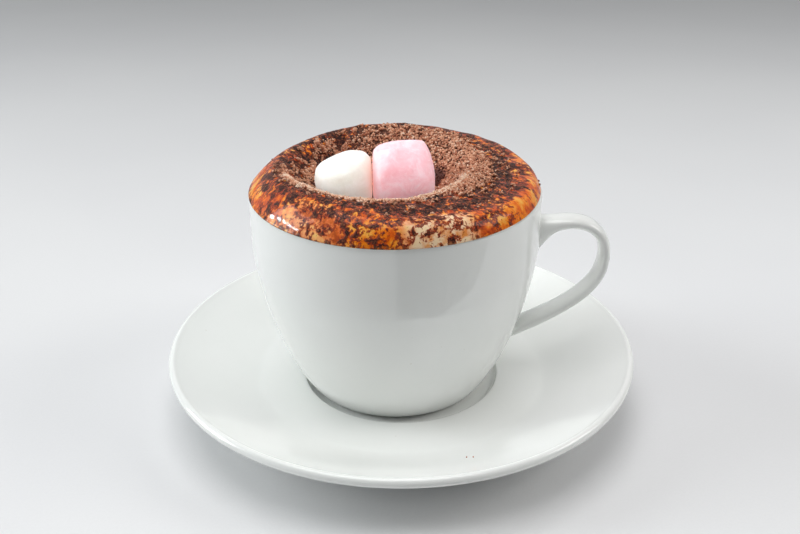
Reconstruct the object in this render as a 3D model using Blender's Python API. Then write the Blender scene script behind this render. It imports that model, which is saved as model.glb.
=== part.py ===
"""A filled cappuccino cup on its saucer, with cocoa-dusted froth and two marshmallows.

Origin: centre of the saucer's foot, on the table. +Z up, the cup's handle points along +X.
"""

import math
import random

import bmesh
import bpy
from mathutils import Euler, Matrix, Vector, noise

MM = 0.001
GAP = 0.3 * MM  # clearance between solids that touch in the real thing
SEGMENTS = 56  # sides of every turned piece

# Saucer
SAUCER_RADIUS = 75.6 * MM
SAUCER_LIP_RADIUS = 1.5 * MM  # rounding of the rim's edge
SAUCER_LIP_HEIGHT = 18.0 * MM  # centre of that rounding above the table
SAUCER_WALL = 3.2 * MM
WELL_RADIUS = 32.0 * MM  # the recess that takes the cup's foot
WELL_EDGE_HEIGHT = 7.9 * MM
WELL_DEPTH = 1.9 * MM
COVE_RADIUS = 47.0 * MM  # where the flat middle starts to curve up into the rim
FOOT_RING_OUTER = 43.0 * MM
FOOT_RING_INNER = 39.0 * MM
UNDERSIDE_HEIGHT = 2.6 * MM  # underside of the middle, above the table

# Cup
CUP_OFFSET = (-1.7 * MM, 1.0 * MM)  # the cup stands a little off the saucer's centre
CUP_RADIUS = 45.1 * MM
CUP_WAIST_RADIUS = 27.95 * MM  # where the bowl's curve reaches the foot
CUP_BASE = WELL_EDGE_HEIGHT - WELL_DEPTH + GAP
CUP_RIM = 73.0 * MM
CUP_STRAIGHT_FROM = 57.1 * MM  # the wall is upright above this height
CUP_WALL = 2.9 * MM
CUP_LIP_ROUNDING = 1.0 * MM
CUP_FLOOR = 5.0 * MM
CUP_FOOT_WIDTH = 3.2 * MM  # the unglazed ring the cup stands on
CUP_FOOT_HEIGHT = 1.2 * MM
BOWL_POWERS = (1.55, 0.79)  # shape of the bowl's curve from foot to wall

# Handle, in the plane through the cup's axis: two Bezier curves that meet at the outermost point
HANDLE_UPPER = ((43.6, 56.6), (48.5, 62.6), (66.4, 64.6), (66.4, 49.5))
HANDLE_LOWER = ((66.4, 49.5), (66.4, 37.3), (54.0, 30.3), (36.0, 22.0))
HANDLE_LOWER_ROOT_SLOPE = 0.38  # lean of the cup's wall where the handle's lower end meets it
HANDLE_HALF_THICKNESS = 1.8 * MM
HANDLE_HALF_WIDTH = 4.1 * MM
HANDLE_UPPER_FLARE = 5.2 * MM  # how much thicker each side gets at the upper root
HANDLE_LOWER_FLARE = 0.9 * MM
HANDLE_FLARE_REACH = 0.085  # share of the handle's length over which a root swells
HANDLE_ROOT_BLEND = 0.16  # share of the length over which a root turns along the wall
HANDLE_STATIONS = 24
HANDLE_SIDES = 10
HANDLE_SECTION_POWER = 2.5  # above 2 the oval section is squarer

# Froth
FROTH_CLEARANCE = 1.1 * GAP  # above the cup's lip
FROTH_EDGE_ANGLES = (8.0, 70.0)  # degrees round the lip where the froth ends: at the droop, elsewhere
FROTH_DROOP = math.radians(-108.0)  # side where the froth hangs furthest over the lip
FROTH_CREST_RADIUS = 35.4 * MM
FROTH_CREST_SHIFT = (4.0 * MM, -2.0 * MM)  # the crest lies further out beside the handle and in front
FROTH_CREST_HEIGHT = 7.5 * MM  # above the cup's rim
FROTH_CREST_TILT = (-2.7 * MM, 1.8 * MM)  # it is higher away from the handle and at the back
SHOULDER_POWER = 2.27
SHOULDER_POWER_CHANGE = (0.5, -0.5)  # rounder beside the handle and in front
CRATER_CENTRE = (-7.0 * MM, 1.3 * MM)
CRATER_FLOOR = -2.0 * MM  # below the cup's rim
CRATER_RADII = (13.3 * MM, 32.8 * MM)  # of the floor and of the lip
FROTH_LUMP_SIZE = 7.0 * MM
FROTH_LUMP_HEIGHT = 0.4 * MM
FROTH_RINGS = 17

# Grated chocolate fused to the froth
CRUMB_COUNT = 105
CRUMB_RADII = (0.7 * MM, 1.05 * MM)
CRUMB_SINK = 0.3  # share of its radius that each lies below the froth
CRUMB_REACH = 31.0 * MM
CRUMB_SPACING = 1.9 * MM
CRUMB_SEED = 7

# Marshmallows: squareness of the barrel's outline, centre from the cup's axis and rim, tilt in
# degrees, and the side on which each presses against the other
MARSHMALLOWS = {
    "marshmallow_white": {
        "radius": 9.3 * MM,
        "half_length": 8.8 * MM,
        "squareness": 3.6,
        "centre": (-14.2 * MM, -6.0 * MM, 2.3 * MM),
        "tilt": (6.0, -18.0, 0.0),
        "pressed_side": -1.0,
        "colour": (0.93, 0.91, 0.86),
    },
    "marshmallow_pink": {
        "radius": 10.0 * MM,
        "half_length": 9.3 * MM,
        "squareness": 4.4,
        "centre": (1.9 * MM, -5.6 * MM, 6.0 * MM),
        "tilt": (0.0, 88.0, 9.0),
        "pressed_side": 1.0,
        "colour": (0.90, 0.62, 0.66),
    },
}
CONTACT_PLANE = -7.1 * MM  # the two marshmallows press flat against each other here
MARSHMALLOW_SIDES = 20
MARSHMALLOW_RINGS = 10


# Helpers


def clear_scene():
    for obj in list(bpy.data.objects):
        bpy.data.objects.remove(obj, do_unlink=True)


def material(name, colour, roughness):
    made = bpy.data.materials.new(name)
    made.use_nodes = True
    shader = made.node_tree.nodes["Principled BSDF"]
    shader.inputs["Base Color"].default_value = (*colour, 1.0)
    shader.inputs["Roughness"].default_value = roughness
    shader.inputs["Metallic"].default_value = 0.0
    return made


def mesh_object(name, mesh_data, finish=None):
    mesh = bpy.data.meshes.new(name)
    bmesh.ops.recalc_face_normals(mesh_data, faces=mesh_data.faces)
    mesh_data.to_mesh(mesh)
    mesh_data.free()
    obj = bpy.data.objects.new(name, mesh)
    bpy.context.scene.collection.objects.link(obj)
    if finish:
        mesh.materials.append(finish)
        mesh.shade_smooth()
        mesh.set_sharp_from_angle(angle=math.radians(50))
    return obj


def turned(profile, segments=SEGMENTS):
    """A closed bmesh from (radius, height) points that start and end on the axis."""
    turned_mesh = bmesh.new()
    points = [turned_mesh.verts.new((r, 0.0, z)) for r, z in profile]
    edges = [turned_mesh.edges.new(pair) for pair in zip(points, points[1:])]
    bmesh.ops.spin(
        turned_mesh,
        geom=points + edges,
        axis=(0.0, 0.0, 1.0),
        cent=(0.0, 0.0, 0.0),
        steps=segments,
        angle=math.tau,
    )
    bmesh.ops.remove_doubles(turned_mesh, verts=turned_mesh.verts, dist=1e-6)
    return turned_mesh


def arc(centre, radius, start, end, steps):
    """Points on an arc in the profile plane, angles in degrees."""
    angles = [math.radians(start + (end - start) * i / steps) for i in range(steps + 1)]
    return [(centre[0] + radius * math.cos(a), centre[1] + radius * math.sin(a)) for a in angles]


def smooth(t):
    t = min(max(t, 0.0), 1.0)
    return t * t * (3.0 - 2.0 * t)


def boolean(obj, operation, other=None, collection=None):
    """Applies one Boolean to obj and removes what it used."""
    cut = obj.modifiers.new(operation.lower(), "BOOLEAN")
    cut.operation = operation
    cut.solver = "MANIFOLD"
    if collection:
        cut.operand_type = "COLLECTION"
        cut.collection = collection
    else:
        cut.object = other
    bpy.context.view_layer.update()
    graph = bpy.context.evaluated_depsgraph_get()
    joined = bpy.data.meshes.new_from_object(obj.evaluated_get(graph))
    obj.modifiers.clear()
    obj.data = joined
    for used in list(collection.objects) if collection else [other]:
        bpy.data.objects.remove(used, do_unlink=True)
    if collection:
        bpy.data.collections.remove(collection)


# Saucer


def saucer_top(radius):
    """Height of the saucer's upper face, outside the well."""
    rise = SAUCER_LIP_HEIGHT + SAUCER_LIP_RADIUS - WELL_EDGE_HEIGHT
    reach = (radius - COVE_RADIUS) / (SAUCER_RADIUS - SAUCER_LIP_RADIUS - COVE_RADIUS)
    if reach <= 0.0:
        return WELL_EDGE_HEIGHT
    return WELL_EDGE_HEIGHT + rise * reach**1.35


def saucer_profile():
    floor = WELL_EDGE_HEIGHT - WELL_DEPTH
    lip = (SAUCER_RADIUS - SAUCER_LIP_RADIUS, SAUCER_LIP_HEIGHT)
    top_radii = [COVE_RADIUS + (lip[0] - COVE_RADIUS) * share for share in (0.15, 0.45, 0.75)]
    under_radii = [lip[0] - (lip[0] - FOOT_RING_OUTER) * share for share in (0.3, 0.65)]
    return (
        [(0.0, floor), (WELL_RADIUS - 1.6 * MM, floor)]
        + [(WELL_RADIUS - 0.5 * MM, floor + 0.5 * MM), (WELL_RADIUS, WELL_EDGE_HEIGHT)]
        + [(COVE_RADIUS, WELL_EDGE_HEIGHT)]
        + [(r, saucer_top(r)) for r in top_radii]
        + arc(lip, SAUCER_LIP_RADIUS, 105, -75, 5)
        + [(r, saucer_top(r) - SAUCER_WALL) for r in under_radii]
        + [(FOOT_RING_OUTER, 0.5 * MM), (FOOT_RING_OUTER - 0.8 * MM, 0.0)]
        + [(FOOT_RING_INNER + 0.6 * MM, 0.0), (FOOT_RING_INNER, 0.6 * MM)]
        + [(FOOT_RING_INNER - 0.8 * MM, UNDERSIDE_HEIGHT), (0.0, UNDERSIDE_HEIGHT)]
    )


def build_saucer(finish):
    return mesh_object("saucer", turned(saucer_profile()), finish)


# Cup


def bowl_radius(height):
    """Outer radius of the cup's wall."""
    share = min((height - CUP_BASE) / (CUP_STRAIGHT_FROM - CUP_BASE), 1.0)
    curve = (1.0 - (1.0 - share) ** BOWL_POWERS[0]) ** BOWL_POWERS[1]
    return CUP_WAIST_RADIUS + (CUP_RADIUS - CUP_WAIST_RADIUS) * curve


def inner_radius(height):
    """Inner radius of the cup's wall. The floor turns up into it with a round corner."""
    above = (height - CUP_BASE - CUP_FLOOR) / (9.0 * MM)
    corner = math.sqrt(1.0 - (1.0 - min(max(above, 0.0), 1.0)) ** 2)
    full = bowl_radius(height) - CUP_WALL
    return full - 7.0 * MM * (1.0 - corner)


def cup_profile():
    first = CUP_BASE + 0.5 * MM
    outer_heights = [first + (CUP_STRAIGHT_FROM - first) * (i / 8) ** 1.4 for i in range(9)]
    floor = CUP_BASE + CUP_FLOOR
    inner_heights = [floor + (CUP_STRAIGHT_FROM - floor) * (1 - i / 6) ** 1.6 for i in range(7)]
    lip_height = CUP_RIM - CUP_LIP_ROUNDING
    outer_lip = (CUP_RADIUS - CUP_LIP_ROUNDING, lip_height)
    inner_lip = (CUP_RADIUS - CUP_WALL + CUP_LIP_ROUNDING, lip_height)
    recess = CUP_BASE + CUP_FOOT_HEIGHT
    foot = (CUP_WAIST_RADIUS - 0.5 * MM - CUP_FOOT_WIDTH, CUP_WAIST_RADIUS - 0.5 * MM)
    return (
        [(0.0, recess), (foot[0] - 0.8 * MM, recess), (foot[0], CUP_BASE), (foot[1], CUP_BASE)]
        + [(bowl_radius(h), h) for h in outer_heights]
        + arc(outer_lip, CUP_LIP_ROUNDING, 0, 90, 3)
        + arc(inner_lip, CUP_LIP_ROUNDING, 90, 180, 3)
        + [(inner_radius(h), h) for h in inner_heights]
        + [(0.0, floor)]
    )


def bezier(points, t):
    """A point and its direction on a cubic Bezier curve."""
    a, b, c, d = (Vector(p) for p in points)
    s = 1.0 - t
    place = s**3 * a + 3 * s * s * t * b + 3 * s * t * t * c + t**3 * d
    direction = 3 * s * s * (b - a) + 6 * s * t * (c - b) + 3 * t * t * (d - c)
    return place, direction.normalized()


def handle_station(share):
    """Centre, direction, half thickness and half width of the handle at a share of its length."""
    if share < 0.5:
        place, direction = bezier(HANDLE_UPPER, share * 2)
    else:
        place, direction = bezier(HANDLE_LOWER, share * 2 - 1)
    upper = math.exp(-((share / HANDLE_FLARE_REACH) ** 1.5))
    lower = math.exp(-(((1.0 - share) / HANDLE_FLARE_REACH) ** 1.5))
    thickness = HANDLE_HALF_THICKNESS + HANDLE_UPPER_FLARE * upper + HANDLE_LOWER_FLARE * lower
    width = HANDLE_HALF_WIDTH + 0.6 * MM * (upper + lower)
    return place * MM, direction, thickness, width


def handle_across(share, direction):
    """The section's outward direction: square to the handle, but along the wall at each root."""
    upper = 1.0 - smooth(share / HANDLE_ROOT_BLEND)
    lower = 1.0 - smooth((1.0 - share) / HANDLE_ROOT_BLEND)
    square = Vector((-direction.y, direction.x)) * (1.0 - upper - lower)
    along_wall = Vector((0.0, upper)) - Vector((HANDLE_LOWER_ROOT_SLOPE, 1.0)) * lower
    return (square + along_wall).normalized()


def rounded(value, power):
    return math.copysign(abs(value) ** (2.0 / power), value)


def handle_mesh():
    swept = bmesh.new()
    loops = []
    for station in range(HANDLE_STATIONS + 1):
        place, direction, thickness, width = handle_station(station / HANDLE_STATIONS)
        across = handle_across(station / HANDLE_STATIONS, direction)
        ring = []
        for side in range(HANDLE_SIDES):
            angle = math.tau * side / HANDLE_SIDES
            out = thickness * rounded(math.cos(angle), HANDLE_SECTION_POWER)
            along_y = width * rounded(math.sin(angle), HANDLE_SECTION_POWER)
            point = place + across * out
            ring.append(swept.verts.new((point.x, along_y, point.y)))
        loops.append(ring)
    for near, far in zip(loops, loops[1:]):
        for side in range(HANDLE_SIDES):
            after = (side + 1) % HANDLE_SIDES
            swept.faces.new((near[side], near[after], far[after], far[side]))
    swept.faces.new(loops[0])
    swept.faces.new(reversed(loops[-1]))
    return swept


def build_cup(finish):
    cup = mesh_object("cup", turned(cup_profile()), finish)
    handle = mesh_object("handle", handle_mesh(), finish)
    boolean(cup, "UNION", other=handle)
    return cup


# Marshmallows


def marshmallow_profile(shape, grow):
    """Half of a barrel's outline: flattened ends, soft corners and slightly bulging sides."""
    angles = [math.pi * (i / MARSHMALLOW_RINGS - 0.5) for i in range(MARSHMALLOW_RINGS + 1)]
    outline = []
    for angle in angles:
        radius = rounded(math.cos(angle), shape["squareness"]) * (shape["radius"] + grow)
        height = rounded(math.sin(angle), shape["squareness"]) * (shape["half_length"] + grow)
        outline.append((radius, height))
    outline[0] = (0.0, outline[0][1])
    outline[-1] = (0.0, outline[-1][1])
    return outline


def marshmallow_mesh(shape, grow=0.0):
    turned_mesh = turned(marshmallow_profile(shape, grow), MARSHMALLOW_SIDES)
    tilt = Euler([math.radians(angle) for angle in shape["tilt"]]).to_matrix().to_4x4()
    place = Matrix.Translation(Vector(shape["centre"]) + Vector((0.0, 0.0, CUP_RIM)))
    bmesh.ops.transform(turned_mesh, matrix=place @ tilt, verts=turned_mesh.verts)
    side = shape["pressed_side"]
    limit = CONTACT_PLANE + side * (GAP * 0.6 - grow)
    for vert in turned_mesh.verts:
        if (vert.co.x - limit) * side < 0.0:
            vert.co.x = limit
    return turned_mesh


def build_marshmallows():
    made = []
    for name, shape in MARSHMALLOWS.items():
        finish = material(name, shape["colour"], 0.85)
        made.append(mesh_object(name, marshmallow_mesh(shape), finish))
    return made


# Drink


def froth_edge_angle(angle):
    """Degrees round the cup's lip where the froth ends, on the side at this angle."""
    droop, elsewhere = FROTH_EDGE_ANGLES
    return droop + (elsewhere - droop) * min(1.0 - math.cos(angle - FROTH_DROOP), 1.0)


def froth_edge(angle):
    """Radius of the froth's edge and its height above the rim, on the side at this angle."""
    round_lip = math.radians(froth_edge_angle(angle))
    clear = CUP_LIP_ROUNDING + FROTH_CLEARANCE
    radius = CUP_RADIUS - CUP_LIP_ROUNDING + clear * math.cos(round_lip)
    return radius, clear * math.sin(round_lip) - CUP_LIP_ROUNDING


def froth_height(x, y):
    """Height of the froth's surface above the cup's rim: a puffed shoulder round a crater."""
    radius = math.hypot(x, y)
    facing = Vector((x, y)) / max(radius, MM)
    edge_radius, edge_height = froth_edge(math.atan2(y, x))
    crest = FROTH_CREST_RADIUS + Vector(FROTH_CREST_SHIFT).dot(facing)
    power = SHOULDER_POWER + Vector(SHOULDER_POWER_CHANGE).dot(facing)
    across = min(max(radius - crest, 0.0) / (edge_radius - crest), 1.0)
    shoulder = 1.0 - across**power
    top = FROTH_CREST_HEIGHT + Vector(FROTH_CREST_TILT).dot(Vector((x, y))) / CUP_RADIUS
    inner, lip = CRATER_RADII
    inward = math.hypot(x - CRATER_CENTRE[0], y - CRATER_CENTRE[1])
    bank = smooth((inward - inner) / (lip - inner))
    lump = FROTH_LUMP_HEIGHT * noise.noise(Vector((x, y, 0.0)) / FROTH_LUMP_SIZE)
    level = CRATER_FLOOR + (top - CRATER_FLOOR) * bank + lump
    return edge_height + (level - edge_height) * shoulder


def froth_shares():
    """Shares of the way out to the froth's edge for its rings, closer together at the steep edge."""
    edge = [1.0 - 0.007 * step**2 for step in range(1, 5)]
    return edge + [edge[-1] * (1.0 - (i / (FROTH_RINGS - 5))) for i in range(1, FROTH_RINGS - 5)]


def drink_outline(angle):
    """Radii and heights from the floor up the wall, over the lip and up the froth, at one angle."""
    floor = CUP_BASE + CUP_FLOOR + GAP
    fill_heights = [floor + (CUP_STRAIGHT_FROM - floor) * (i / 4) ** 1.6 for i in range(5)]
    wall = [(inner_radius(max(h - GAP, floor - GAP)) - GAP * 1.2, h) for h in fill_heights]
    lip_height = CUP_RIM - CUP_LIP_ROUNDING
    inner_lip = (CUP_RADIUS - CUP_WALL + CUP_LIP_ROUNDING, lip_height)
    outer_lip = (CUP_RADIUS - CUP_LIP_ROUNDING, lip_height)
    clear = CUP_LIP_ROUNDING + FROTH_CLEARANCE
    over_lip = arc(inner_lip, clear, 180, 90, 2) + arc(outer_lip, clear, 90, froth_edge_angle(angle), 3)
    froth = []
    for share in froth_shares():
        radius = share * froth_edge(angle)[0]
        height = froth_height(radius * math.cos(angle), radius * math.sin(angle))
        froth.append((radius, CUP_RIM + height))
    return wall + over_lip + froth


def drink_mesh():
    solid = bmesh.new()
    columns = []
    for i in range(SEGMENTS):
        angle = math.tau * i / SEGMENTS
        along, across = math.cos(angle), math.sin(angle)
        outline = drink_outline(angle)
        ring = [(radius * along, radius * across, height) for radius, height in outline]
        columns.append([solid.verts.new(place) for place in ring])
    bottom = solid.verts.new((0.0, 0.0, columns[0][0].co.z))
    top = solid.verts.new((0.0, 0.0, CUP_RIM + froth_height(0.0, 0.0)))
    for column, after in zip(columns, columns[1:] + columns[:1]):
        for row in range(len(column) - 1):
            solid.faces.new((column[row], after[row], after[row + 1], column[row + 1]))
        solid.faces.new((after[0], column[0], bottom))
        solid.faces.new((column[-1], after[-1], top))
    return solid


def crumb_likelihood(x, y):
    """Where the chocolate lies thick: round the crater, most of all behind and beside the handle."""
    radius = math.hypot(x, y)
    angle = math.atan2(y, x)
    facing = 0.5 + 0.5 * math.cos(angle - math.radians(35))
    outer = CRUMB_REACH + 3.0 * MM * facing
    if radius > outer or radius < 9.0 * MM:
        return 0.0
    if radius > CRUMB_REACH - 3.0 * MM:
        return 0.25 + 0.6 * facing
    return 0.45 + 0.55 * facing


def near_marshmallow(x, y, margin):
    for shape in MARSHMALLOWS.values():
        centre = shape["centre"]
        reach = shape["radius"] + margin
        if math.hypot(x - centre[0], y - centre[1]) < reach * 1.12:
            return True
    return False


def crumb_places():
    draw = random.Random(CRUMB_SEED)
    places = []
    while len(places) < CRUMB_COUNT:
        x = draw.uniform(-1.0, 1.0) * (CRUMB_REACH + 4.0 * MM)
        y = draw.uniform(-1.0, 1.0) * (CRUMB_REACH + 4.0 * MM)
        radius = draw.uniform(*CRUMB_RADII)
        if draw.random() > crumb_likelihood(x, y) or near_marshmallow(x, y, radius + GAP):
            continue
        if any(math.hypot(x - px, y - py) < CRUMB_SPACING for px, py, _ in places):
            continue
        places.append((x, y, radius))
    return places


def crumb_collection():
    crumbs = bpy.data.collections.new("crumbs")
    bpy.context.scene.collection.children.link(crumbs)
    draw = random.Random(CRUMB_SEED + 1)
    for number, (x, y, radius) in enumerate(crumb_places()):
        crumb = bmesh.new()
        bmesh.ops.create_icosphere(crumb, subdivisions=1, radius=radius)
        for vert in crumb.verts:
            vert.co *= draw.uniform(0.8, 1.15)
        turn = Matrix.Rotation(draw.uniform(0.0, math.tau), 4, "Z")
        squat = Matrix.Diagonal((1.25, 0.9, 0.8, 1.0))
        height = CUP_RIM + froth_height(x, y) - CRUMB_SINK * radius
        place = Matrix.Translation((x, y, height))
        bmesh.ops.transform(crumb, matrix=place @ turn @ squat, verts=crumb.verts)
        obj = mesh_object(f"crumb_{number}", crumb)
        bpy.context.scene.collection.objects.unlink(obj)
        crumbs.objects.link(obj)
    return crumbs


def build_drink(finish):
    drink = mesh_object("drink", drink_mesh(), finish)
    boolean(drink, "UNION", collection=crumb_collection())
    for name, shape in MARSHMALLOWS.items():
        pocket = mesh_object(f"{name}_pocket", marshmallow_mesh(shape, GAP * 1.4))
        boolean(drink, "DIFFERENCE", other=pocket)
    return drink


def main():
    clear_scene()
    porcelain = material("porcelain", (0.90, 0.91, 0.90), 0.12)
    froth = material("froth", (0.42, 0.18, 0.07), 0.45)
    build_saucer(porcelain)
    cup_axis = bpy.data.objects.new("cup_axis", None)
    bpy.context.scene.collection.objects.link(cup_axis)
    cup_axis.location = (*CUP_OFFSET, 0.0)
    for piece in [build_cup(porcelain), build_drink(froth), *build_marshmallows()]:
        piece.parent = cup_axis


main()
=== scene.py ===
import math
import random

import bpy
import numpy as np
from mathutils import Matrix, Vector, noise


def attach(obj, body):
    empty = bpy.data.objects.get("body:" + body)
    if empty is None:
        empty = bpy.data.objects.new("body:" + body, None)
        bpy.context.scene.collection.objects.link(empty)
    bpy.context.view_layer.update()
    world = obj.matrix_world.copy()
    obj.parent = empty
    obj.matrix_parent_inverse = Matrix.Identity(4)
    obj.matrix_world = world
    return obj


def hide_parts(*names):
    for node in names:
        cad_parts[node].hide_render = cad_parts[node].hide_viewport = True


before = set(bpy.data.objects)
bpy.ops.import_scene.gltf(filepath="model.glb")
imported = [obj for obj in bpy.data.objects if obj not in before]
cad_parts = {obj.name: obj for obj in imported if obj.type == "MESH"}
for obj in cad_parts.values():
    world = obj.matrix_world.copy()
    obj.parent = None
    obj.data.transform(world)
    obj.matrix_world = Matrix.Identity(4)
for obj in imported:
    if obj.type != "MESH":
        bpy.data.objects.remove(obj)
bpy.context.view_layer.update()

MM = 0.001

# Cup, in millimetres, as in the frame's solids. Heights are counted from the ground.
CUP_AXIS = (-1.7, 1.0)
CUP_RADIUS = 45.1
CUP_RIM = 73.0
CUP_BASE = 6.3
CUP_WALL = 2.9
CUP_LIP = 1.0
CUP_FLOOR = 5.0
CUP_STRAIGHT = 57.1
CUP_WAIST = 27.95
CUP_STEPS = 192  # sides of the turned mesh
SHARP_ANGLE = math.radians(60)

# Handle: curve points as distance from the cup's axis and height, and half sizes, in millimetres
HANDLE_UPPER = ((43.6, 56.6), (48.5, 62.6), (66.4, 64.6), (66.4, 49.5))
HANDLE_LOWER = ((66.4, 49.5), (66.4, 37.3), (54.0, 30.3), (36.0, 22.0))
HANDLE_THICKNESS = 1.8
HANDLE_WIDTH = 4.1
HANDLE_FLARES = (5.2, 0.9)
HANDLE_WIDER = 0.6
HANDLE_JOIN = 0.085  # share of its length over which it flares
HANDLE_TURN = 0.16  # share of its length over which it turns along the wall
HANDLE_POWER = 2.5  # how square its section is, where 2 is round

# Saucer, in millimetres
SAUCER_RADIUS = 75.6
SAUCER_LIP = 1.5
SAUCER_LIP_HEIGHT = 18.0
SAUCER_COVE = 47.0
SAUCER_COVE_HEIGHT = 7.9
SAUCER_RISE = 11.6
SAUCER_WALL = 3.2
SAUCER_STEPS = 224  # sides of the turned mesh

# Froth, in millimetres: x and y are counted from the cup's axis, and heights from its rim
FROTH_CLEARANCE = 0.33
FROTH_EDGE_ANGLES = (8.0, 70.0)  # degrees round the lip, where it hangs lowest and elsewhere
FROTH_DROOP = math.radians(-108.0)  # the side on which it hangs lowest
CREST_RADIUS = 35.4
CREST_SHIFT = (4.0, -2.0)  # how much wider towards x and y
CREST_HEIGHT = 7.5
CREST_TILT = (-2.7, 1.8)  # rise over the cup's radius towards x and y
SHOULDER_POWER = 2.27  # how full the shoulder is
SHOULDER_POWER_CHANGE = (0.5, -0.5)
CRATER_CENTRE = (-7.0, 1.3)
CRATER_FLOOR = -2.0
CRATER_RADII = (13.3, 32.8)  # foot and top of its bank
LUMP_HEIGHT = 0.4
LUMP_SIZE = 7.0

# Marshmallows, in the froth's millimetres: radius, half length, squareness, centre,
# turn in degrees and side of the contact plane
MARSHMALLOWS = {
    "marshmallow_white": (9.3, 8.8, 3.6, (-14.2, -6.0, 2.3), (6.0, -18.0, 0.0), -1.0),
    "marshmallow_pink": (10.0, 9.3, 4.4, (1.9, -5.6, 6.0), (0.0, 88.0, 9.0), 1.0),
}
CONTACT_PLANE = -7.1
PINK_TAPER = (0.26, 0.14)  # shares of its width, at the left and at the right
WHITE_SHOULDER = 0.9

# Grated chocolate: counts of grains, places and gaps in the froth's millimetres, angles in degrees.
# The third number of a crumb on the saucer is its height from the ground.
LAYER_GRAINS = 9000
LAYER_REACH = 29.5
LIP_RADIUS = 28.4
RIDGE_GRAINS = 3100
RIDGE_RADIUS = 28.6
RIDGE_ANGLES = (-152.0, -12.0)
CLUMP_SPOTS = 440  # steps taken by all the clumps
CLUMP_RADII = (12.0, 38.0)
CLUMP_GAP = 2.1
CLUMP_STEP = 0.75
CLUMP_STEP_GRAINS = 8
STRAY_ON_FROTH = ((-39.5, 13.7), (44.2, 0.6), (43.9, -3.4))
STRAY_ON_SAUCER = ((20.0, -59.5, 14.6), (21.9, -59.4, 14.6))

# Colours of a marshmallow, from 0 to 255: low, middle and high tone, and a painted glow of light bounced
# between the two where they touch
MARSHMALLOW_COLOURS = {
    "marshmallow_white": ((206, 203, 194), (213, 211, 203), (221, 220, 215), (240, 204, 184)),
    "marshmallow_pink": ((224, 166, 174), (230, 184, 192), (236, 207, 213), (234, 168, 162)),
}
MARSHMALLOW_GLOW = 0.24

# Where a noise texture's values lie, and how widely
NOISE_MIDDLE = 0.5
NOISE_SPREAD = 0.11

# Stage, in metres. The card's edges are left, right, by the cup and by the viewer.
# Each pane of the window has its y and z here.
FLOOR_HALF = 14.0
FLOOR_DROP = 0.0002
CARD = (0.0, 0.2, -0.085, -0.45)
WINDOW_PANES = ((0.34, 0.38), (0.20, 0.43), (0.07, 0.47), (-0.05, 0.50), (-0.16, 0.54))
PANE_DISTANCE = -1.08
PANE_SIZE = (0.10, 0.035)
CAMERA_PLACE = (-0.0002, -0.2834, 0.1843)

# Lens and turn of the camera: lengths in the photograph's pixels, sensor in millimetres, turns in radians
FOCAL_PIXELS = 985.0
PHOTO_WIDTH = 800.0
SENSOR_WIDTH = 36.0
CAMERA_DOWN = 0.4557
CAMERA_ROLL = 0.0012


def smooth(t):
    """0 to 1 with a soft start and end."""
    t = np.clip(t, 0.0, 1.0)
    return t * t * (3.0 - 2.0 * t)


def srgb(red, green, blue):
    """A screen colour from 0 to 255 as the linear colour that a socket takes."""

    def linear(value):
        value /= 255.0
        return value / 12.92 if value <= 0.04045 else ((value + 0.055) / 1.055) ** 2.4

    return (linear(red), linear(green), linear(blue), 1.0)


# Materials


class Shader:
    """A Principled material and short ways to feed it."""

    def __init__(self, name, **numbers):
        self.material = bpy.data.materials.new(name)
        self.material.use_nodes = True
        self.tree = self.material.node_tree
        self.main = self.tree.nodes["Principled BSDF"]
        for socket, value in numbers.items():
            self.main.inputs[socket.replace("_", " ")].default_value = value

    def add(self, kind, inputs=(), output=0, **settings):
        made = self.tree.nodes.new(kind)
        for key, value in settings.items():
            setattr(made, key, value)
        for key, value in dict(inputs).items():
            if isinstance(value, bpy.types.NodeSocket):
                self.tree.links.new(value, made.inputs[key])
            else:
                made.inputs[key].default_value = value
        return made.outputs[output]

    def place(self):
        return self.add("ShaderNodeTexCoord", output="Object")

    def attribute(self, name):
        return self.add("ShaderNodeAttribute", output="Fac", attribute_name=name)

    def noise(self, vector, scale, detail=4.0, roughness=0.55, distortion=0.0):
        inputs = {
            "Vector": vector,
            "Scale": scale,
            "Detail": detail,
            "Roughness": roughness,
            "Distortion": distortion,
        }
        return self.add("ShaderNodeTexNoise", inputs)

    def math(self, operation, first, second=0.0, clamp=False):
        inputs = {0: first, 1: second}
        return self.add("ShaderNodeMath", inputs, operation=operation, use_clamp=clamp)

    def span(self, value, low, high, to_low=0.0, to_high=1.0):
        inputs = {
            "Value": value,
            "From Min": low,
            "From Max": high,
            "To Min": to_low,
            "To Max": to_high,
        }
        return self.add("ShaderNodeMapRange", inputs, interpolation_type="SMOOTHSTEP")

    def mix(self, share, first, second, blend="MIX"):
        made = self.tree.nodes.new("ShaderNodeMix")
        made.data_type = "RGBA"
        made.blend_type = blend
        for socket, value in ((0, share), (6, first), (7, second)):
            if isinstance(value, bpy.types.NodeSocket):
                self.tree.links.new(value, made.inputs[socket])
            else:
                made.inputs[socket].default_value = value
        return made.outputs[2]

    def ramp(self, value, stops):
        made = self.tree.nodes.new("ShaderNodeValToRGB")
        self.tree.links.new(value, made.inputs[0])
        ramp = made.color_ramp
        while len(ramp.elements) < len(stops):
            ramp.elements.new(0.5)
        for element, (position, colour) in zip(ramp.elements, stops):
            element.position = position
            element.color = colour
        return made.outputs[0]

    def feed(self, socket, value):
        self.tree.links.new(value, self.main.inputs[socket])

    def bump(self, height, strength, distance):
        inputs = {"Height": height, "Strength": strength, "Distance": distance}
        self.feed("Normal", self.add("ShaderNodeBump", inputs))


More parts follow.
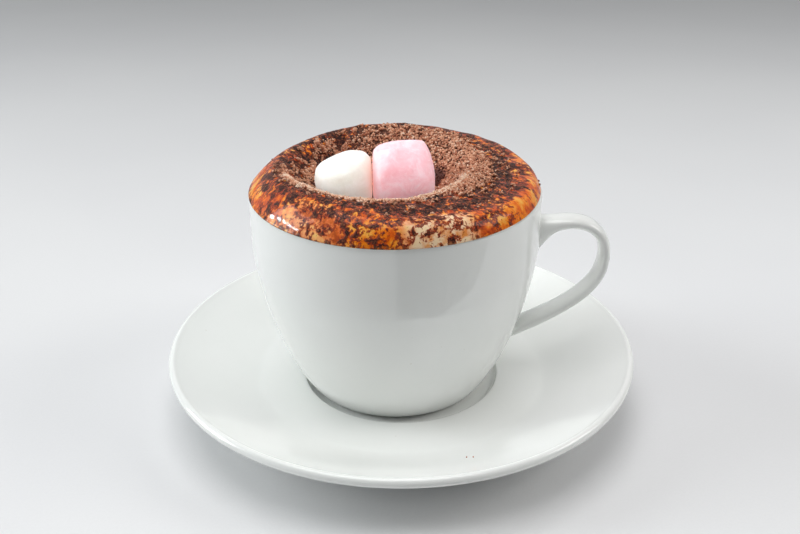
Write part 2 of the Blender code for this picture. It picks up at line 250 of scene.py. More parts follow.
def porcelain():
    """White glaze with faint clouds and specks."""
    shader = Shader("porcelain", Roughness=0.1, Coat_Weight=0.35, Coat_Roughness=0.05)
    place = shader.place()
    cloud = shader.noise(place, 22.0, 3.0)
    tint = shader.ramp(cloud, [(0.3, srgb(244, 246, 243)), (0.7, srgb(248, 249, 247))])
    speck = shader.span(shader.noise(place, 900.0, 1.0), 0.80, 0.83)
    shader.feed("Base Color", shader.mix(speck, tint, srgb(228, 226, 218)))
    shader.feed("Roughness", shader.span(shader.noise(place, 60.0, 3.0), 0.2, 0.8, 0.07, 0.13))
    shader.bump(shader.noise(place, 35.0, 2.0), 0.04, 0.001)
    return shader.material


def froth_material():
    """Milk foam under wet cocoa: the cocoa covers it where the field below rises above nought."""
    shader = Shader("froth", Coat_Roughness=0.06, Coat_IOR=1.33, Specular_IOR_Level=0.15)
    shader.main.inputs["Subsurface Weight"].default_value = 0.2
    shader.main.inputs["Subsurface Scale"].default_value = 0.002
    shader.main.inputs["Subsurface Radius"].default_value = (1.0, 0.5, 0.25)
    place = shader.place()
    streak = shader.add("ShaderNodeAttribute", output="Vector", attribute_name="streak")
    drawn_out = shader.attribute("drawn_out")
    cream = shader.attribute("cream")
    carpet = shader.attribute("carpet")

    def layer(plain_scale, streak_scale, detail, swirl):
        plain = shader.noise(place, plain_scale, detail, 0.6, swirl)
        drawn = shader.noise(streak, streak_scale, detail, 0.6, swirl)
        both = shader.add("ShaderNodeMix", {0: drawn_out, 2: plain, 3: drawn})
        return shader.math("DIVIDE", shader.math("SUBTRACT", both, NOISE_MIDDLE), NOISE_SPREAD)

    blotch = layer(360.0, 0.34, 3.0, 0.3)
    fine = layer(1050.0, 1.1, 3.0, 0.15)
    milk = layer(240.0, 0.22, 4.0, 0.25)
    field = shader.math("ADD", shader.math("MULTIPLY", blotch, 0.7), shader.math("MULTIPLY", fine, 0.46))
    field = shader.math("ADD", field, shader.attribute("cocoa"))

    golden = shader.ramp(
        shader.span(milk, -2.2, 2.2),
        [
            (0.12, srgb(176, 58, 6)),
            (0.38, srgb(230, 100, 12)),
            (0.62, srgb(252, 140, 26)),
            (0.85, srgb(255, 184, 78)),
        ],
    )
    pale = shader.ramp(
        shader.span(milk, -2.2, 2.2), [(0.25, srgb(240, 154, 76)), (0.60, srgb(255, 226, 188))]
    )
    foam = shader.mix(cream, golden, pale)
    rust = shader.mix(shader.span(field, -0.45, 0.05), foam, srgb(164, 56, 16))
    wet = shader.ramp(
        shader.span(fine, -2.0, 2.0),
        [
            (0.15, srgb(26, 12, 10)),
            (0.45, srgb(52, 23, 17)),
            (0.70, srgb(92, 46, 32)),
            (0.92, srgb(150, 84, 52)),
        ],
    )
    soil = shader.mix(shader.span(field, 0.05, 0.45), rust, wet)
    grit = shader.noise(place, 1700.0, 3.0, 0.6)
    under = shader.ramp(
        grit,
        [(0.36, srgb(48, 22, 17)), (0.55, srgb(112, 64, 48)), (0.72, srgb(196, 142, 114))],
    )
    shader.feed("Base Color", shader.mix(carpet, soil, under))
    shader.feed("Roughness", shader.span(shader.math("ADD", field, carpet), -0.2, 0.6, 0.4, 0.6))
    shader.feed("Coat Weight", shader.span(shader.math("ADD", field, carpet), 0.2, 1.2, 0.45, 0.05))
    raised = shader.math("ADD", shader.span(field, -0.3, 0.6), shader.math("MULTIPLY", fine, 0.12))
    shader.bump(shader.math("ADD", raised, shader.math("MULTIPLY", grit, 0.6)), 0.45, 0.00035)
    return shader.material


def chocolate_material():
    """Dry grated chocolate, darker or paler by each grain's tone: mostly its own, with painted shade in the
    hollow beside the pink marshmallow and painted light on the crater's front ridge.
    """
    shader = Shader("grated_chocolate", Roughness=0.75)
    tone = shader.attribute("tone")
    place = shader.place()
    colour = shader.ramp(
        tone,
        [
            (0.0, srgb(92, 46, 34)),
            (0.3, srgb(188, 116, 84)),
            (0.7, srgb(234, 174, 138)),
            (1.0, srgb(252, 220, 194)),
        ],
    )
    dust = shader.noise(place, 2500.0, 3.0)
    shader.feed("Base Color", shader.mix(shader.span(dust, 0.4, 0.7, 0.0, 0.3), colour, srgb(120, 72, 54)))
    shader.bump(dust, 0.5, 0.0002)
    return shader.material


def marshmallow_material(name):
    """Powdery foam. Its emission stands for the light that passes through it."""
    low, middle, high, glow = (srgb(*colour) for colour in MARSHMALLOW_COLOURS[name])
    shader = Shader(name, Roughness=0.85, Subsurface_Weight=1.0, Subsurface_Scale=0.014)
    shader.main.inputs["Subsurface Radius"].default_value = (1.0, 0.85, 0.8)
    place = shader.place()
    mottle = shader.noise(place, 160.0, 4.0, 0.6, 0.6)
    powder = shader.noise(place, 900.0, 5.0, 0.7)
    colour = shader.ramp(mottle, [(0.3, low), (0.5, middle), (0.68, high)])
    colour = shader.mix(shader.span(powder, 0.5, 0.75, 0.0, 0.6), colour, high)
    # painted glow: a warmer, lighter colour near the contact plane stands in for light bounced between the
    # two marshmallows
    colour = shader.mix(shader.attribute("painted_contact_glow"), colour, glow)
    shader.feed("Base Color", colour)
    shader.feed("Emission Color", colour)
    shader.main.inputs["Emission Strength"].default_value = MARSHMALLOW_GLOW
    shader.bump(shader.math("ADD", powder, shader.math("MULTIPLY", mottle, 2.0)), 0.35, 0.0004)
    return shader.material


def floor_material():
    """A pale floor, with painted shade that makes it darker far behind the cup and near the viewer."""
    shader = Shader("floor", Roughness=0.8)
    place = shader.place()
    weave = shader.noise(place, 1200.0, 2.0)
    cloud = shader.noise(place, 3.0, 3.0)
    colour = shader.ramp(cloud, [(0.35, srgb(228, 228, 230)), (0.65, srgb(234, 234, 235))])
    colour = shader.mix(shader.span(weave, 0.3, 0.7, 0.0, 0.04), colour, srgb(190, 190, 190))
    depth = shader.add("ShaderNodeSeparateXYZ", {"Vector": place}, 1)
    # painted shade: the floor's colour darkens far behind the cup and near the viewer
    far = shader.mix(shader.span(depth, -0.05, 0.8), (1.0, 1.0, 1.0, 1.0), srgb(188, 188, 188))
    near = shader.mix(shader.span(depth, -0.6, -0.1), srgb(150, 150, 150), far)
    shader.feed("Base Color", shader.mix(1.0, colour, near, "MULTIPLY"))
    return shader.material


# Meshes


def make_object(name, vertices, faces, material, smooth_faces=True):
    mesh = bpy.data.meshes.new(name)
    mesh.from_pydata([tuple(v) for v in vertices], [], faces)
    mesh.materials.append(material)
    mesh.update()
    if smooth_faces:
        mesh.shade_smooth()
    obj = bpy.data.objects.new(name, mesh)
    bpy.context.scene.collection.objects.link(obj)
    return obj


def lathe(profile, segments, centre):
    """Vertices and faces of a closed turned body from (radius, height) points in millimetres."""
    angles = np.linspace(0.0, 2.0 * math.pi, segments, endpoint=False)
    ring = [(r, z) for r, z in profile if r > 0.0]
    vertices = []
    for radius, height in ring:
        for angle in angles:
            x = centre[0] + radius * math.cos(angle)
            y = centre[1] + radius * math.sin(angle)
            vertices.append((x * MM, y * MM, height * MM))
    faces = []
    for row in range(len(ring) - 1):
        for i in range(segments):
            j = (i + 1) % segments
            here, there = row * segments, (row + 1) * segments
            faces.append((here + i, there + i, there + j, here + j))
    for end, row in ((0, 0), (-1, len(ring) - 1)):
        vertices.append((centre[0] * MM, centre[1] * MM, profile[end][1] * MM))
        tip = len(vertices) - 1
        for i in range(segments):
            j = (i + 1) % segments
            pair = (row * segments + j, row * segments + i)
            faces.append((tip, *(pair if end else pair[::-1])))
    return vertices, faces


def arc(centre, radius, start, end, steps):
    """Points round a centre from one angle to another, in degrees."""
    angles = np.radians(np.linspace(start, end, steps + 1))
    return [(centre[0] + radius * math.cos(a), centre[1] + radius * math.sin(a)) for a in angles]


def bowl_radius(height):
    """Radius of the cup's outside at one height."""
    share = min(max(height - CUP_BASE, 0.0) / (CUP_STRAIGHT - CUP_BASE), 1.0)
    return CUP_WAIST + (CUP_RADIUS - CUP_WAIST) * (1.0 - (1.0 - share) ** 1.55) ** 0.79


def inner_radius(height):
    """Radius of the cup's inside at one height, rounded towards its floor."""
    above = min(max((height - CUP_BASE - CUP_FLOOR) / 9.0, 0.0), 1.0)
    return bowl_radius(height) - CUP_WALL - 7.0 * (1.0 - math.sqrt(1.0 - (1.0 - above) ** 2))


def cup_profile():
    """From the middle of the underside up the outside, over the lip and down the inside."""
    recess = CUP_BASE + 1.2
    foot = (CUP_WAIST - 3.7, CUP_WAIST - 0.5)
    outer = [CUP_BASE + 0.5 + (CUP_STRAIGHT - CUP_BASE - 0.5) * (i / 40) ** 1.4 for i in range(41)]
    floor = CUP_BASE + CUP_FLOOR
    inner = [floor + (CUP_STRAIGHT - floor) * (1 - i / 20) ** 1.6 for i in range(21)]
    lip_height = CUP_RIM - CUP_LIP
    return (
        [(0.0, recess), (foot[0] - 0.8, recess), (foot[0], CUP_BASE), (foot[1], CUP_BASE)]
        + [(bowl_radius(h), h) for h in outer]
        + arc((CUP_RADIUS - CUP_LIP, lip_height), CUP_LIP, 0, 90, 10)
        + arc((CUP_RADIUS - CUP_WALL + CUP_LIP, lip_height), CUP_LIP, 90, 180, 8)
        + [(inner_radius(h), h) for h in inner]
        + [(0.0, floor)]
    )


def saucer_top(radius):
    """Height of the saucer's upper face outside the well."""
    reach = (radius - SAUCER_COVE) / (SAUCER_RADIUS - SAUCER_LIP - SAUCER_COVE)
    return SAUCER_COVE_HEIGHT + (SAUCER_RISE * reach**1.35 if reach > 0.0 else 0.0)


def saucer_profile():
    """From the middle of the well out over the lip and back under to the middle."""
    lip = (SAUCER_RADIUS - SAUCER_LIP, SAUCER_LIP_HEIGHT)
    well = [(0.0, 6.0), (30.4, 6.0), (30.9, 6.1), (31.35, 6.4), (31.7, 7.0), (31.85, 7.5)]
    ledge = [(32.0, 7.75), (32.25, 7.87), (32.6, 7.9), (40.0, 7.9), (46.5, 7.9)]
    slope = [(r, saucer_top(r)) for r in np.linspace(47.5, 73.4, 30)]
    under_slope = [(r, saucer_top(r) - SAUCER_WALL) for r in np.linspace(72.6, 44.0, 24)]
    foot_outside = [(43.2, 3.6), (43.0, 0.6), (42.6, 0.15), (42.2, 0.0)]
    foot_inside = [(39.7, 0.0), (39.2, 0.2), (39.0, 0.6), (38.4, 2.3), (38.0, 2.6)]
    underside = foot_outside + foot_inside + [(0.0, 2.6)]
    return well + ledge + slope + arc(lip, SAUCER_LIP, 100, -78, 14) + under_slope + underside


def bezier(points, t):
    """Place and direction on a cubic curve at t, from 0 to 1."""
    a, b, c, d = (Vector(p) for p in points)
    s = 1.0 - t
    place = s**3 * a + 3 * s * s * t * b + 3 * s * t * t * c + t**3 * d
    direction = 3 * s * s * (b - a) + 6 * s * t * (c - b) + 3 * t * t * (d - c)
    return place, direction.normalized()


def rounded(value, power):
    """A sine or cosine drawn out, so that a circle gets squarer as power goes past 2."""
    return math.copysign(abs(value) ** (2.0 / power), value)


def handle_parts(stations=110, sides=32):
    """A closed tube along both curves, thicker and turned along the wall where it meets the cup."""
    vertices, faces = [], []
    for station in range(stations + 1):
        share = station / stations
        curve = HANDLE_UPPER if share < 0.5 else HANDLE_LOWER
        place, direction = bezier(curve, share * 2 - (share >= 0.5))
        upper = math.exp(-((share / HANDLE_JOIN) ** 1.5))
        lower = math.exp(-(((1.0 - share) / HANDLE_JOIN) ** 1.5))
        thickness = HANDLE_THICKNESS + HANDLE_FLARES[0] * upper + HANDLE_FLARES[1] * lower
        width = HANDLE_WIDTH + HANDLE_WIDER * (upper + lower)
        turn_up = 1.0 - smooth(share / HANDLE_TURN)
        turn_down = 1.0 - smooth((1.0 - share) / HANDLE_TURN)
        across = Vector((-direction.y, direction.x)) * (1.0 - turn_up - turn_down)
        across += Vector((0.0, turn_up)) - Vector((0.38, 1.0)) * turn_down
        across.normalize()
        for side in range(sides):
            angle = math.tau * side / sides
            out = thickness * rounded(math.cos(angle), HANDLE_POWER)
            y = width * rounded(math.sin(angle), HANDLE_POWER)
            x = CUP_AXIS[0] + place.x + across.x * out
            vertices.append((x * MM, (CUP_AXIS[1] + y) * MM, (place.y + across.y * out) * MM))
    for station in range(stations):
        for side in range(sides):
            after = (side + 1) % sides
            here, there = station * sides, (station + 1) * sides
            faces.append((here + side, here + after, there + after, there + side))
    faces.append(tuple(reversed(range(sides))))
    faces.append(tuple(stations * sides + i for i in range(sides)))
    return vertices, faces


def join_parts(first, second):
    """Vertices and faces of two parts as one piece."""
    shift = len(first[0])
    return first[0] + second[0], first[1] + [tuple(i + shift for i in f) for f in second[1]]


# Froth


def froth_edge_angle(angle):
    """Degrees round the cup's lip where the froth ends, on the side at this angle."""
    droop, elsewhere = FROTH_EDGE_ANGLES
    return droop + (elsewhere - droop) * min(1.0 - math.cos(angle - FROTH_DROOP), 1.0)


def froth_edge(angle):
    """Radius of the froth's edge and its height above the rim, on the side at this angle."""
    round_lip = math.radians(froth_edge_angle(angle))
    clear = CUP_LIP + FROTH_CLEARANCE
    return CUP_RADIUS - CUP_LIP + clear * math.cos(round_lip), clear * math.sin(round_lip) - CUP_LIP


def froth_height(x, y):
    """Height above the rim of the froth's surface, with its large lumps, at one point."""
    radius = math.hypot(x, y)
    along, across = x / max(radius, 1.0), y / max(radius, 1.0)
    edge_radius, edge_height = froth_edge(math.atan2(y, x))
    crest = CREST_RADIUS + CREST_SHIFT[0] * along + CREST_SHIFT[1] * across
    power = SHOULDER_POWER + SHOULDER_POWER_CHANGE[0] * along + SHOULDER_POWER_CHANGE[1] * across
    shoulder = 1.0 - min(max(radius - crest, 0.0) / (edge_radius - crest), 1.0) ** power
    top = CREST_HEIGHT + (CREST_TILT[0] * x + CREST_TILT[1] * y) / CUP_RADIUS
    inward = math.hypot(x - CRATER_CENTRE[0], y - CRATER_CENTRE[1])
    bank = float(smooth((inward - CRATER_RADII[0]) / (CRATER_RADII[1] - CRATER_RADII[0])))
    lump = LUMP_HEIGHT * noise.noise(Vector((x, y, 0.0)) / LUMP_SIZE)
    level = CRATER_FLOOR + (top - CRATER_FLOOR) * bank + lump
    return edge_height + (level - edge_height) * shoulder


def window(angle, middle, half, soft):
    """1 within half of middle, falling to 0 over soft, all in degrees."""
    off = abs((angle - middle + 180.0) % 360.0 - 180.0)
    return float(1.0 - smooth((off - half) / soft))


def carpet_share(x, y):
    """How much of the froth the grated chocolate covers as one layer, 0 to 1."""
    radius = math.hypot(x, y)
    angle = math.degrees(math.atan2(y, x))
    uneven = noise.noise(Vector((x, y, 3.0)) / 3.5)
    reach = LAYER_REACH + 3.5 * window(angle, 80.0, 22.0, 25.0) + 1.6 * uneven
    inside = float(1.0 - smooth((radius - reach + 1.0) / 1.6))
    right = window(angle + 8.0 * uneven, 35.0, 80.0, 10.0) * inside
    inward = math.hypot(x - CRATER_CENTRE[0], y - CRATER_CENTRE[1])
    round_crater = math.degrees(math.atan2(y - CRATER_CENTRE[1], x - CRATER_CENTRE[0]))
    off_lip = abs(inward - LIP_RADIUS - 0.6 * uneven)
    lip = window(round_crater, -92.0, 78.0, 12.0) * float(1.0 - smooth((off_lip - 1.4) / 0.9))
    return max(right, lip)


def cocoa_bias(x, y):
    """How thickly the cocoa lies at one point: nought covers half of the froth."""
    radius = math.hypot(x, y)
    angle = math.degrees(math.atan2(y, x))
    patchy = 0.45 * noise.noise(Vector((x, y, 40.0)) / 8.0)
    right = window(angle, 8.0, 36.0, 30.0)
    thick = 1.0 - 0.75 * float(smooth((radius - 34.5 + 1.5 * right) / 4.0))
    front = window(angle, -85.0, 45.0, 20.0)
    bare = float(smooth((radius - 38.5) / 4.0)) * (0.36 + 0.62 * right + 0.04 * front)
    back_left = 0.35 * window(angle, 140.0, 35.0, 25.0)
    inside_left = 0.35 * window(angle, 180.0, 50.0, 20.0) * float(1.0 - smooth((radius - 33.0) / 4.0))
    return (0.95 - 0.16 * front) * thick - bare - back_left + inside_left + patchy


def cream_share(x, y):
    """Where the foam shows paler, at the front and a little at the left."""
    angle = math.degrees(math.atan2(y, x))
    radius = math.hypot(x, y)
    outer = float(smooth((radius - 37.0) / 2.5))
    return max(0.9 * window(angle, -73.0, 8.0, 9.0), 0.2 * window(angle, -122.0, 6.0, 12.0)) * outer


def froth_outline(angle, rings):
    """Radii and heights from the floor up the wall, over the lip and up the froth, at one angle."""
    clear = CUP_LIP + FROTH_CLEARANCE
    lip_height = CUP_RIM - CUP_LIP
    fill_heights = np.linspace(CUP_BASE + CUP_FLOOR + 0.3, CUP_STRAIGHT, 14)
    wall = [(inner_radius(h) - 0.4, h) for h in fill_heights]
    inner_lip = arc((CUP_RADIUS - CUP_WALL + CUP_LIP, lip_height), clear, 180, 90, 4)
    outer_lip = arc((CUP_RADIUS - CUP_LIP, lip_height), clear, 90, froth_edge_angle(angle), 6)
    shares = np.concatenate([[0.9992, 0.9975], 1.0 - np.linspace(0.0, 1.0, rings + 1)[1:-1] ** 1.12])
    edge_radius = froth_edge(angle)[0]
    froth = []
    for radius in shares * edge_radius:
        froth.append((radius, CUP_RIM + froth_height(radius * math.cos(angle), radius * math.sin(angle))))
    return wall + inner_lip + outer_lip + froth, len(froth)


def froth_grid(segments=480, rings=180):
    """Points and faces of the whole drink, and which points lie on the froth's surface."""
    points, faces, on_top = [], [], []
    for segment in range(segments):
        angle = math.tau * segment / segments
        outline, above = froth_outline(angle, rings)
        points += [(radius * math.cos(angle), radius * math.sin(angle), height) for radius, height in outline]
        on_top += [False] * (len(outline) - above) + [True] * above
    rows = len(outline)
    bottom, top = len(points), len(points) + 1
    points += [(0.0, 0.0, outline[0][1]), (0.0, 0.0, CUP_RIM + froth_height(0.0, 0.0))]
    on_top += [False, True]
    for segment in range(segments):
        here, after = segment * rows, (segment + 1) % segments * rows
        faces += [(here + r, after + r, after + r + 1, here + r + 1) for r in range(rows - 1)]
        faces += [(after, here, bottom), (here + rows - 1, after + rows - 1, top)]
    return np.array(points), faces, np.array(on_top)


def set_attribute(obj, name, values, kind="FLOAT"):
    """Stores a number or a vector for each vertex, for the materials to read."""
    attribute = obj.data.attributes.new(name, kind, "POINT")
    key = "vector" if kind == "FLOAT_VECTOR" else "value"
    attribute.data.foreach_set(key, np.asarray(values, dtype=np.float32).ravel())


def build_froth(material):
    """The drink up to the froth's surface, roughened, with what its material reads at each vertex."""
    points, faces, on_top = froth_grid()
    lifted = points.copy()
    cocoa, cream, carpet, drawn_out, streak = [], [], [], [], []
    for index, (x, y, z) in enumerate(points):
        radius = math.hypot(x, y)
        covered = carpet_share(x, y) if on_top[index] else 0.0
        cocoa.append(cocoa_bias(x, y))
        cream.append(cream_share(x, y))
        carpet.append(covered)
        sideways = 1.0 - 0.85 * window(math.degrees(math.atan2(y, x)), -90.0, 42.0, 25.0)
        drawn_out.append(float(smooth((radius - 35.5) / 5.0)) * sideways)
        unit = (x / max(radius, 1e-6), y / max(radius, 1e-6))
        streak.append((unit[0] * 40.0, unit[1] * 40.0, 0.5 * (radius - z)))
        if on_top[index]:
            crags = noise.noise(Vector((x, y, 20.0)) * 1.1) * 0.3 * covered
            lumps = max(0.0, noise.noise(Vector((x, y, 5.0)) / 1.5)) * 0.5
            lumps *= float(smooth((38.5 - radius) / 5.0))
            lifted[index, 2] += crags + lumps * (1.0 - covered)
    lifted[:, 0] += CUP_AXIS[0]
    lifted[:, 1] += CUP_AXIS[1]
    obj = make_object("froth", lifted * MM, faces, material)
    set_attribute(obj, "cocoa", cocoa)
    set_attribute(obj, "cream", cream)
    set_attribute(obj, "carpet", carpet)
    set_attribute(obj, "drawn_out", drawn_out)
    set_attribute(obj, "streak", streak, "FLOAT_VECTOR")
    return obj


# Grated chocolate


def icosahedron():
    """Corners and outward faces of a regular twenty-sided solid of radius 1."""
    golden = (1.0 + math.sqrt(5.0)) / 2.0
    corners = [(-1, golden, 0), (1, golden, 0), (-1, -golden, 0), (1, -golden, 0)]
    corners += [(0, -1, golden), (0, 1, golden), (0, -1, -golden), (0, 1, -golden)]
    corners += [(golden, 0, -1), (golden, 0, 1), (-golden, 0, -1), (-golden, 0, 1)]
    corners = np.array(corners, dtype=float)
    corners /= np.linalg.norm(corners[0])
    faces = []
    for a in range(12):
        for b in range(a + 1, 12):
            for c in range(b + 1, 12):
                trio = corners[[a, b, c]]
                if max(np.linalg.norm(trio - np.roll(trio, 1, axis=0), axis=1)) < 1.2:
                    outward = np.dot(np.cross(trio[1] - trio[0], trio[2] - trio[0]), trio.sum(axis=0))
                    faces.append((a, b, c) if outward > 0 else (a, c, b))
    return corners, faces


def blocked(x, y, margin):
    """True where a marshmallow stands in the way."""
    for name, (radius, half, _, centre, _, _) in MARSHMALLOWS.items():
        reach_x = (half if name == "marshmallow_pink" else radius) + margin
        off = (abs(x - centre[0]) / reach_x) ** 3 + (abs(y - centre[1]) / (radius + margin)) ** 3
        if off < 1.0:
            return True
    return False


def lay_grain(grains, x, y, size, lift, tone):
    """Adds a grain on the froth, unless a marshmallow stands there."""
    if not blocked(x, y, 0.25 + size):
        grains.append((x, y, CUP_RIM + froth_height(x, y) + lift, size, tone))


def painted_hollow_shade(x, y):
    """1 in the hollow beside the pink marshmallow, where grains are darkened as painted shade, falling to 0
    round it.
    """
    centre = MARSHMALLOWS["marshmallow_pink"][3]
    off = math.hypot((x - centre[0] - 10.5) / 4.6, (y - centre[1] - 10.0) / 8.5)
    return float(1.0 - smooth(off / 1.1))


def layer_places(rng):
    """Fine grains that cover the right and the back of the crater and its front edge."""
    grains = []
    while len(grains) < LAYER_GRAINS:
        x, y = rng.uniform(-34.0, 34.0), rng.uniform(-34.0, 34.0)
        share = carpet_share(x, y)
        pore = noise.noise(Vector((x, y, 70.0)) / 0.9)
        if rng.random() > share**1.5 or pore < -0.17:
            continue
        # grains in the hollow beside the pink marshmallow get a darker tone: painted shade
        tone = rng.gauss(0.5, 0.22) + 0.3 * pore - 1.3 * painted_hollow_shade(x, y)
        size = rng.uniform(0.22, 0.48)
        lift = rng.uniform(0.0, 0.45) + 0.35 * max(pore, 0.0)
        lay_grain(grains, x, y, size, lift, tone)
    return grains


def clump_places(rng):
    """Stray crumbs, the ridge on the crater's front edge, and crooked clumps, most of them at the left."""
    grains = [(x, y, CUP_RIM + froth_height(x, y) + 0.2, 0.4, 0.1) for x, y in STRAY_ON_FROTH]
    grains += [(x, y, height, 0.24, 0.35) for x, y, height in STRAY_ON_SAUCER]
    for _ in range(RIDGE_GRAINS):
        angle = math.radians(rng.uniform(*RIDGE_ANGLES))
        off = rng.gauss(0.0, 0.75)
        uneven = noise.noise(Vector((math.cos(angle) * 7.0, math.sin(angle) * 7.0, 9.0)))
        radius = RIDGE_RADIUS + 0.9 * uneven + off
        x = CRATER_CENTRE[0] + radius * math.cos(angle)
        y = CRATER_CENTRE[1] + radius * math.sin(angle)
        lift = rng.uniform(0.0, 1.0 + 0.6 * uneven) * math.exp(-(off**2))
        # the ridge grains get a paler tone than the others: painted light that makes up for the shade the
        # ridge stands in
        lay_grain(grains, x, y, rng.uniform(0.24, 0.46), lift, rng.gauss(1.0, 0.16))
    taken = []
    while len(taken) < CLUMP_SPOTS:
        angle = rng.uniform(-180.0, 180.0)
        radius = rng.uniform(*CLUMP_RADII)
        left = window(angle, 164.0, 42.0, 12.0) * float(1.0 - smooth((radius - 34.0) / 5.0))
        right = 0.1 * window(angle, 10.0, 45.0, 20.0)
        if angle > 20.0 and radius > 33.0 or rng.random() > max(left, right, 0.006):
            continue
        turn = math.radians(angle) + math.pi / 2 + rng.gauss(0.0, 0.9)
        x, y = radius * math.cos(math.radians(angle)), radius * math.sin(math.radians(angle))
        gap = CLUMP_GAP + 1.2 * float(smooth((radius - 28.0) / 8.0))
        if carpet_share(x, y) > 0.3 or any(math.hypot(x - a, y - b) < gap for a, b in taken):
            continue
        steps = rng.choice((1, 2, 3, 4, 5, 7)) if left > right else rng.choice((1, 1, 1, 2))
        size = rng.uniform(0.85, 1.3) * (1.0 - 0.35 * float(smooth((radius - 28.0) / 8.0)))
        for _ in range(steps):
            turn += rng.gauss(0.0, 0.5)
            x, y = x + CLUMP_STEP * math.cos(turn), y + CLUMP_STEP * math.sin(turn)
            taken.append((x, y))
            for _ in range(CLUMP_STEP_GRAINS):
                off_x, off_y = rng.gauss(0.0, 0.42 * size), rng.gauss(0.0, 0.42 * size)
                crown = math.exp(-(off_x**2 + off_y**2) / (0.5 * size) ** 2)
                lift = rng.uniform(0.0, 0.35 + 0.75 * crown) * size
                grain_size = rng.uniform(0.24, 0.44) * size
                lay_grain(grains, x + off_x, y + off_y, grain_size, lift, rng.gauss(0.6, 0.16))
    return grains


def build_grains(name, grains, material, seed):
    """One mesh of uneven twenty-sided grains, each turned and stretched in its own way."""
    corners, triangles = icosahedron()
    shaper = np.random.default_rng(seed)
    count = len(grains)
    wobble = shaper.uniform(0.72, 1.18, (count, 12, 1))
    stretch = shaper.uniform(0.7, 1.3, (count, 1, 3))
    turns = np.linalg.qr(shaper.normal(size=(count, 3, 3)))[0]
    turns[:, :, 0] *= np.sign(np.linalg.det(turns))[:, None]
    local = np.einsum("nij,nkj->nki", turns, corners[None] * wobble * stretch)
    data = np.array(grains)
    vertices = (local * data[:, None, 3:4] + data[:, None, :3]).reshape(-1, 3)
    vertices[:, 0] += CUP_AXIS[0]
    vertices[:, 1] += CUP_AXIS[1]
    faces = [(i * 12 + a, i * 12 + b, i * 12 + c) for i in range(count) for a, b, c in triangles]
    obj = make_object(name, vertices * MM, faces, material)
    set_attribute(obj, "tone", np.repeat(np.clip(data[:, 4], 0.0, 1.0), 12))
    return obj


# Marshmallows


def build_marshmallow(name, material, rings=72, sides=96):
    """A dented pillow shape that flattens where it meets the other marshmallow."""
    radius, half, power, centre, tilt, side = MARSHMALLOWS[name]
    turn = Matrix.Rotation(math.radians(tilt[2]), 3, "Z") @ Matrix.Rotation(math.radians(tilt[1]), 3, "Y")
    turn = turn @ Matrix.Rotation(math.radians(tilt[0]), 3, "X")
    middle = Vector((centre[0], centre[1], centre[2] + CUP_RIM))
    limit = CONTACT_PLANE + side * 0.03
    points, painted_contact_glow = [], []
    for row in range(rings + 1):
        angle = math.pi * (row / rings - 0.5)
        r = rounded(max(math.cos(angle), 0.0), power) * radius
        z = rounded(math.sin(angle), power) * half
        for i in range(sides if 0 < row < rings else 1):
            a = math.tau * i / sides
            local = Vector((r * math.cos(a), r * math.sin(a), z))
            dent = noise.noise(local / 7.0 + Vector((side * 9.0, 0.0, 0.0))) * 0.35
            dent += noise.noise(local / 2.2) * 0.06
            dent += 0.3 * math.exp(-(((abs(z) - 0.84 * half) / 0.9) ** 2))
            point = turn @ (local * (1.0 + dent / radius)) + middle
            if side > 0.0:
                taper = PINK_TAPER[0] if point.x < middle.x else PINK_TAPER[1]
                point.x -= (point.x - middle.x) * taper * max(0.0, (point.z - middle.z) / radius) ** 2
            else:
                across, above = (point.x - middle.x - 2.0) / 5.0, (point.z - middle.z) / radius
                point.z += WHITE_SHOULDER * float(smooth(across) * smooth(above))
            past = (limit - point.x) * side
            if past > -0.6:
                point.x = limit + side * 0.6 * math.exp(-(past + 0.6) / 0.6) if past < 2 else limit
            # how much painted glow of bounced light this point gets, falling off away from the contact plane
            painted_contact_glow.append(0.6 * math.exp(-abs(point.x - limit) / 1.2))
            points.append((point.x + CUP_AXIS[0], point.y + CUP_AXIS[1], point.z))
    faces = []
    for row in range(1, rings - 1):
        start, after = 1 + (row - 1) * sides, 1 + row * sides
        for i in range(sides):
            j = (i + 1) % sides
            faces.append((start + i, start + j, after + j, after + i))
    last = 1 + (rings - 2) * sides
    for i in range(sides):
        j = (i + 1) % sides
        faces.append((0, 1 + j, 1 + i))
        faces.append((len(points) - 1, last + i, last + j))
    obj = make_object(name + "_soft", np.array(points) * MM, faces, material)
    set_attribute(obj, "painted_contact_glow", painted_contact_glow)
    return obj


# Stage


def add_area(name, place, target, size, power, colour=(1.0, 1.0, 1.0), gloss_only=False):
    """A rectangular light. One that is gloss only adds to reflections but not to diffuse light."""
    light = bpy.data.lights.new(name, "AREA")
    light.shape = "RECTANGLE"
    light.size, light.size_y = size
    light.energy = power
    light.color = colour
    obj = bpy.data.objects.new(name, light)
    bpy.context.scene.collection.objects.link(obj)
    obj.location = place
    obj.rotation_euler = (Vector(target) - Vector(place)).to_track_quat("-Z", "Y").to_euler()
    obj.visible_diffuse = not gloss_only
    return obj


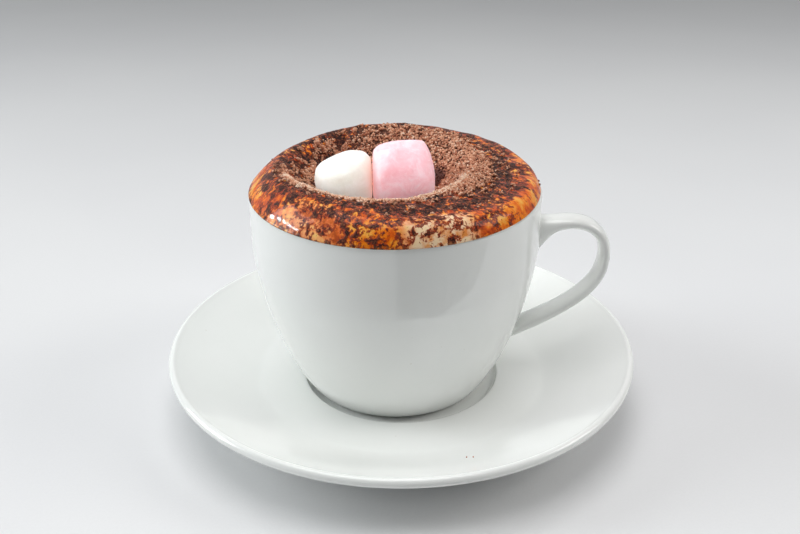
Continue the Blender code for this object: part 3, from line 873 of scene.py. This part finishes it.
def build_stage(lit_from_front):
    """Floor, card, lights and room. The front light reaches only the pieces given."""
    half = FLOOR_HALF
    corners = [(-half, -half, 0.0), (half, -half, 0.0), (half, half, 0.0), (-half, half, 0.0)]
    floor = make_object("floor", corners, [(0, 1, 2, 3)], floor_material())
    floor.location.z = -FLOOR_DROP
    build_card()
    add_area("window", (-2.1, 0.23, 0.95), (0.0, 0.0, 0.05), (1.15, 1.5), 31.5, (0.94, 0.99, 1.0))
    for number, (y, z) in enumerate(WINDOW_PANES):
        place = (PANE_DISTANCE, y, z)
        add_area(f"pane_{number}", place, (0.0, 0.0, 0.07), PANE_SIZE, 1.0, gloss_only=True)
    add_area("far_side", (1.1, 0.0, 0.8), (0.0, 0.0, 0.04), (0.6, 0.6), 5.2, (1.0, 0.99, 0.96))
    add_area("overhead", (-0.1, -0.06, 1.2), (0.0, 0.0, 0.04), (0.9, 0.9), 8.2)
    front = add_area("front", (-0.15, -0.7, 0.45), (0.0, 0.0, 0.08), (0.5, 0.4), 3.2, (0.94, 0.98, 1.0))
    front.light_linking.receiver_collection = bpy.data.collections.new("lit_from_the_front")
    for piece in lit_from_front:
        front.light_linking.receiver_collection.objects.link(piece)
    build_world((0.0, 0.97, 0.24), 0.05, 0.63)


def build_card():
    """A dark card on the floor in front, which shows only in reflections."""
    left, right, by_cup, by_viewer = CARD
    front_edge = [(left, by_viewer, 0.0), (right, by_viewer, 0.0)]
    corners = front_edge + [(right, by_cup, 0.0), (left, by_cup, 0.0)]
    shader = Shader("card", Roughness=0.7)
    cloud = shader.noise(shader.place(), 40.0)
    shade = shader.ramp(cloud, [(0.3, srgb(40, 40, 40)), (0.7, srgb(56, 56, 56))])
    shader.feed("Base Color", shade)
    card = make_object("card", corners, [(0, 1, 2, 3)], shader.material)
    card.visible_camera = card.visible_diffuse = card.visible_shadow = False


def build_world(bright_side, dim, bright):
    """A room that is bright behind the cup and dim towards the camera."""
    world = bpy.data.worlds.new("room")
    bpy.context.scene.world = world
    world.use_nodes = True
    tree = world.node_tree
    place = tree.nodes.new("ShaderNodeTexCoord")
    facing = tree.nodes.new("ShaderNodeVectorMath")
    facing.operation = "DOT_PRODUCT"
    facing.inputs[1].default_value = bright_side
    tree.links.new(place.outputs["Generated"], facing.inputs[0])
    span = tree.nodes.new("ShaderNodeMapRange")
    span.interpolation_type = "SMOOTHSTEP"
    for socket, value in (("From Min", 0.2), ("From Max", 0.9), ("To Min", dim), ("To Max", bright)):
        span.inputs[socket].default_value = value
    tree.links.new(facing.outputs["Value"], span.inputs["Value"])
    tree.links.new(span.outputs[0], tree.nodes["Background"].inputs["Strength"])
    tree.nodes["Background"].inputs["Color"].default_value = (0.97, 0.99, 1.0, 1.0)


def build_camera():
    """The camera at the photograph's viewing angle."""
    camera = bpy.data.cameras.new("camera")
    camera.sensor_width = SENSOR_WIDTH
    camera.lens = FOCAL_PIXELS / PHOTO_WIDTH * SENSOR_WIDTH
    camera.clip_start = 0.01
    obj = bpy.data.objects.new("camera", camera)
    bpy.context.scene.collection.objects.link(obj)
    obj.location = CAMERA_PLACE
    obj.rotation_euler = (math.pi / 2 - CAMERA_DOWN, CAMERA_ROLL, 0.0)
    bpy.context.scene.camera = obj


def main():
    glaze = porcelain()
    cup_parts = join_parts(lathe(cup_profile(), CUP_STEPS, CUP_AXIS), handle_parts())
    cup = make_object("cup_glazed", *cup_parts, glaze)
    saucer = make_object("saucer_glazed", *lathe(saucer_profile(), SAUCER_STEPS, (0.0, 0.0)), glaze)
    for piece in (cup, saucer):
        piece.data.set_sharp_from_angle(angle=SHARP_ANGLE)
    froth = build_froth(froth_material())
    chocolate = chocolate_material()
    layer = build_grains("chocolate_layer", layer_places(random.Random(11)), chocolate, 5)
    clumps = build_grains("chocolate_clumps", clump_places(random.Random(23)), chocolate, 6)
    white = marshmallow_material("marshmallow_white")
    pink = marshmallow_material("marshmallow_pink")
    soft_white = build_marshmallow("marshmallow_white", white)
    soft_pink = build_marshmallow("marshmallow_pink", pink)
    stands_for = (
        (cup, "cup", "cup"),
        (saucer, "saucer", "saucer"),
        (froth, "drink", "drink"),
        (layer, "drink", "drink"),
        (clumps, "drink", "drink"),
        (soft_white, "marshmallow_white", "marshmallow_white"),
        (soft_pink, "marshmallow_pink", "marshmallow_pink"),
    )
    for piece, node, slot in stands_for:
        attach(piece, "root")
        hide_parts(node)
    build_stage((soft_white, soft_pink))
    build_camera()
    bpy.context.scene.view_settings.view_transform = "Standard"


main()
